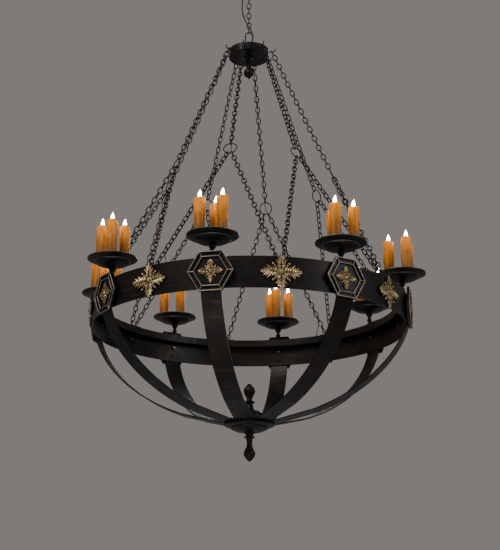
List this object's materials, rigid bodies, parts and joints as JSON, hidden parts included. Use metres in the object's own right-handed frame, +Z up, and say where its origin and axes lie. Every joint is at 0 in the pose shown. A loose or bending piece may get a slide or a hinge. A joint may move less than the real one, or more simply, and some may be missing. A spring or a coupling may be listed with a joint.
{
  "type": "ring chandelier",
  "caption": "Bowl-shaped wrought-iron ring chandelier on chains, with drip dishes of candle lamps, hexagon medallions and leaf rosettes",
  "frame": {"origin": "centre of the ceiling plane, between the crossbar's two screw holes on its upper face", "axes": "+Z up towards the ceiling, the crossbar's two screw holes along X; the fixture hangs below the origin"},
  "size_m": [1.6768, 1.6768, 2.4805],
  "materials": {
    "iron": "satin black-brown wrought iron",
    "worn_edge_iron": "black-brown with rubbed copper edges",
    "gilt": "antique gilt with dark patina",
    "zinc_steel": "zinc plated",
    "black_plastic": "matt",
    "socket_plastic": "satin",
    "amber_resin": "honey amber, waxy",
    "bulb_glass": "clear warm glass, lit"
  },
  "bodies": {
    "ceiling": {"ceiling_canopy": "iron", "canopy_crossbar": "zinc_steel", "canopy_nipple": "zinc_steel", "canopy_loop": "iron"},
    "suspension": {"suspension_chain": "iron", "supply_cord": "black_plastic"},
    "fixture": {"hub_drum": "iron", "hub_cover": "iron", "hub_loop": "iron", "hub_knob": "iron", "hub_hooks": "iron", "cord_bushings": "black_plastic", "bridle_rings": "iron", "upper_chain_1": "iron", "upper_chain_2": "iron", "upper_chain_3": "iron", "upper_chain_4": "iron", "upper_chain_5": "iron", "upper_chain_6": "iron", "upper_chain_7": "iron", "upper_chain_8": "iron", "lower_chains_1": "iron", "lower_chains_2": "iron", "lower_chains_3": "iron", "lower_chains_4": "iron", "lower_chains_5": "iron", "lower_chains_6": "iron", "lower_chains_7": "iron", "lower_chains_8": "iron", "lead_wires": "black_plastic", "band_eyes": "iron", "ring_band": "iron", "wireway": "iron", "hexagon_plates": "iron", "hexagon_frames": "worn_edge_iron", "small_rosettes": "gilt", "large_rosettes": "gilt", "rosette_bolts": "gilt", "rosette_nuts": "iron", "bowl_straps": "iron", "strap_rivets": "iron", "dish_stems": "iron", "stem_nuts": "iron", "dish_cones": "iron", "drip_dishes": "iron", "lamp_sockets": "socket_plastic", "candle_sleeves": "amber_resin", "flame_bulbs": "bulb_glass", "bowl_plate": "iron", "bowl_cap": "iron", "bowl_dish": "iron", "center_rod": "zinc_steel", "upper_finial": "iron", "lower_finial": "iron"}
  },
  "joints": [
    {"name": "chain_swing", "type": "hinge", "parent": "ceiling", "child": "suspension", "pos_m": [0, 0, -0.073], "axis": [1, 0, 0], "range_deg": [-12, 12]},
    {"name": "fixture_swing", "type": "hinge", "parent": "suspension", "child": "fixture", "pos_m": [0, 0, -0.2661], "axis": [0, 1, 0], "range_deg": [-12, 12], "deforming": ["supply_cord"]}
  ]
}
